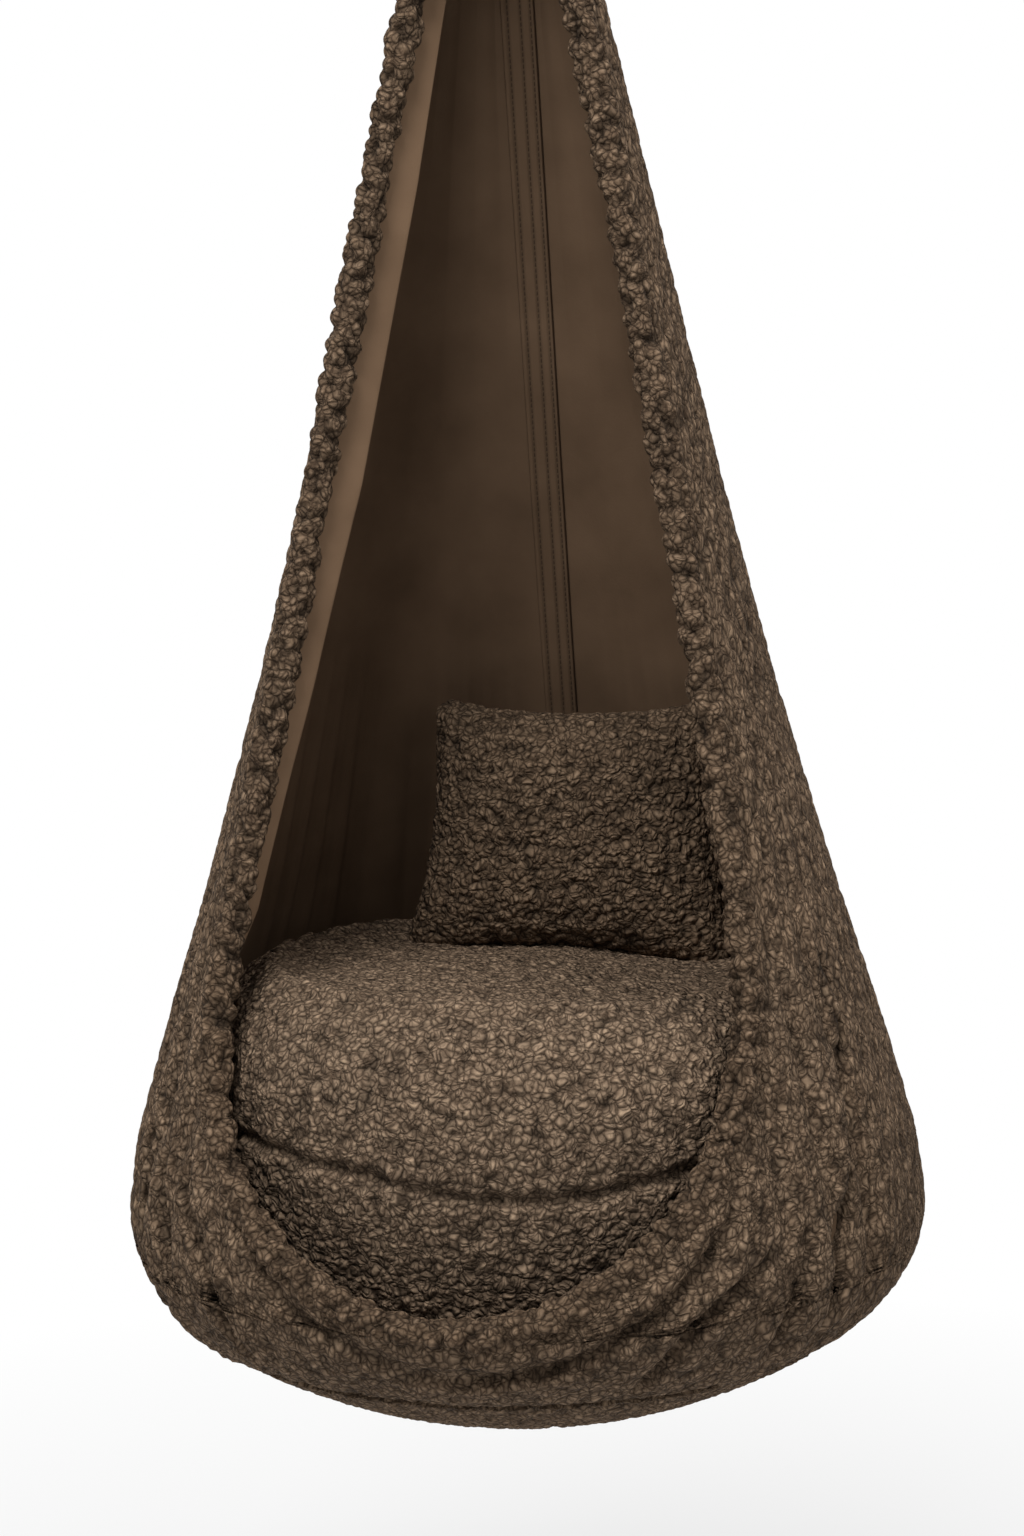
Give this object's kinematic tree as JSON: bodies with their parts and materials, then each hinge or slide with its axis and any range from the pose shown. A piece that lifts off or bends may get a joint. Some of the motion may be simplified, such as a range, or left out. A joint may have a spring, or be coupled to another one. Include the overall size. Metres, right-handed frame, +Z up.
{
  "type": "hanging pod chair",
  "caption": "Plush teardrop hanging chair with an open rolled-hem front, smooth lining, round seat cushion and throw pillow, hung by a webbing strap from a ceiling swivel.",
  "frame": {"origin": "centre of the ceiling plate's upper face, against the ceiling", "axes": "+Z up into the ceiling, -Y towards the open front, +X to the right seen from the front"},
  "size_m": [0.7027, 0.7025, 1.6905],
  "materials": {
    "plush": "long sherpa pile",
    "lining": "smooth brushed suede-like cloth",
    "cushion_plush": "long sherpa pile",
    "foam": "soft fill",
    "webbing": "woven strap",
    "steel": "satin steel",
    "bearing_steel": "polished",
    "bush_plastic": "self-lubricating bush",
    "painted_steel": "black powder coat"
  },
  "bodies": {
    "ceiling_mount": {"ceiling_plate": "painted_steel", "swivel_housing": "painted_steel", "stem_bush": "bush_plastic", "lower_race": "bearing_steel", "ball_cage": "bearing_steel"},
    "swivel": {"swivel_eye": "steel", "stem_nut": "steel", "upper_race": "bearing_steel"},
    "carabiner": {"carabiner_body": "steel", "gate_pin": "steel"},
    "gate": {"carabiner_gate": "steel"},
    "ring": {"strap_ring": "steel"},
    "pod": {"hanging_strap": "webbing", "anchor_bar": "steel", "neck_plug": "bush_plastic", "neck_wrap": "webbing", "front_pocket": "plush", "left_panel": "plush", "right_panel": "plush", "base_panel": "plush", "pocket_lining": "lining", "left_lining": "lining", "right_lining": "lining", "base_lining": "lining", "back_band": "lining", "left_hem": "plush", "right_hem": "plush", "cushion_top": "cushion_plush", "cushion_side": "cushion_plush", "cushion_base": "lining", "cushion_core": "foam"},
    "pillow": {"pillow_front": "cushion_plush", "pillow_back": "cushion_plush", "pillow_core": "foam"}
  },
  "joints": [
    {"name": "swivel_spin", "type": "hinge", "parent": "ceiling_mount", "child": "swivel", "pos_m": [0, 0, -0.04], "axis": [0, 0, 1], "continuous": true},
    {"name": "swing_fore_aft", "type": "hinge", "parent": "swivel", "child": "carabiner", "pos_m": [0, 0, -0.0798], "axis": [1, 0, 0], "range_deg": [-30, 30]},
    {"name": "gate_hinge", "type": "hinge", "parent": "carabiner", "child": "gate", "pos_m": [0, 0.013, -0.13515], "axis": [1, 0, 0], "range_deg": [0, 24], "stiffness_Nm_per_rad": 0.3, "springref_deg": -17.19},
    {"name": "swing_sideways", "type": "hinge", "parent": "carabiner", "child": "ring", "pos_m": [0, 0, -0.15215], "axis": [0, 1, 0], "range_deg": [-25, 25]},
    {"name": "strap_pivot", "type": "hinge", "parent": "ring", "child": "pod", "pos_m": [0, 0, -0.1815], "axis": [1, 0, 0], "range_deg": [-30, 30]},
    {"name": "pillow_lift", "type": "slide", "parent": "pod", "child": "pillow", "axis": [0, -0.9397, 0.342], "range_m": [0, 0.6]}
  ]
}
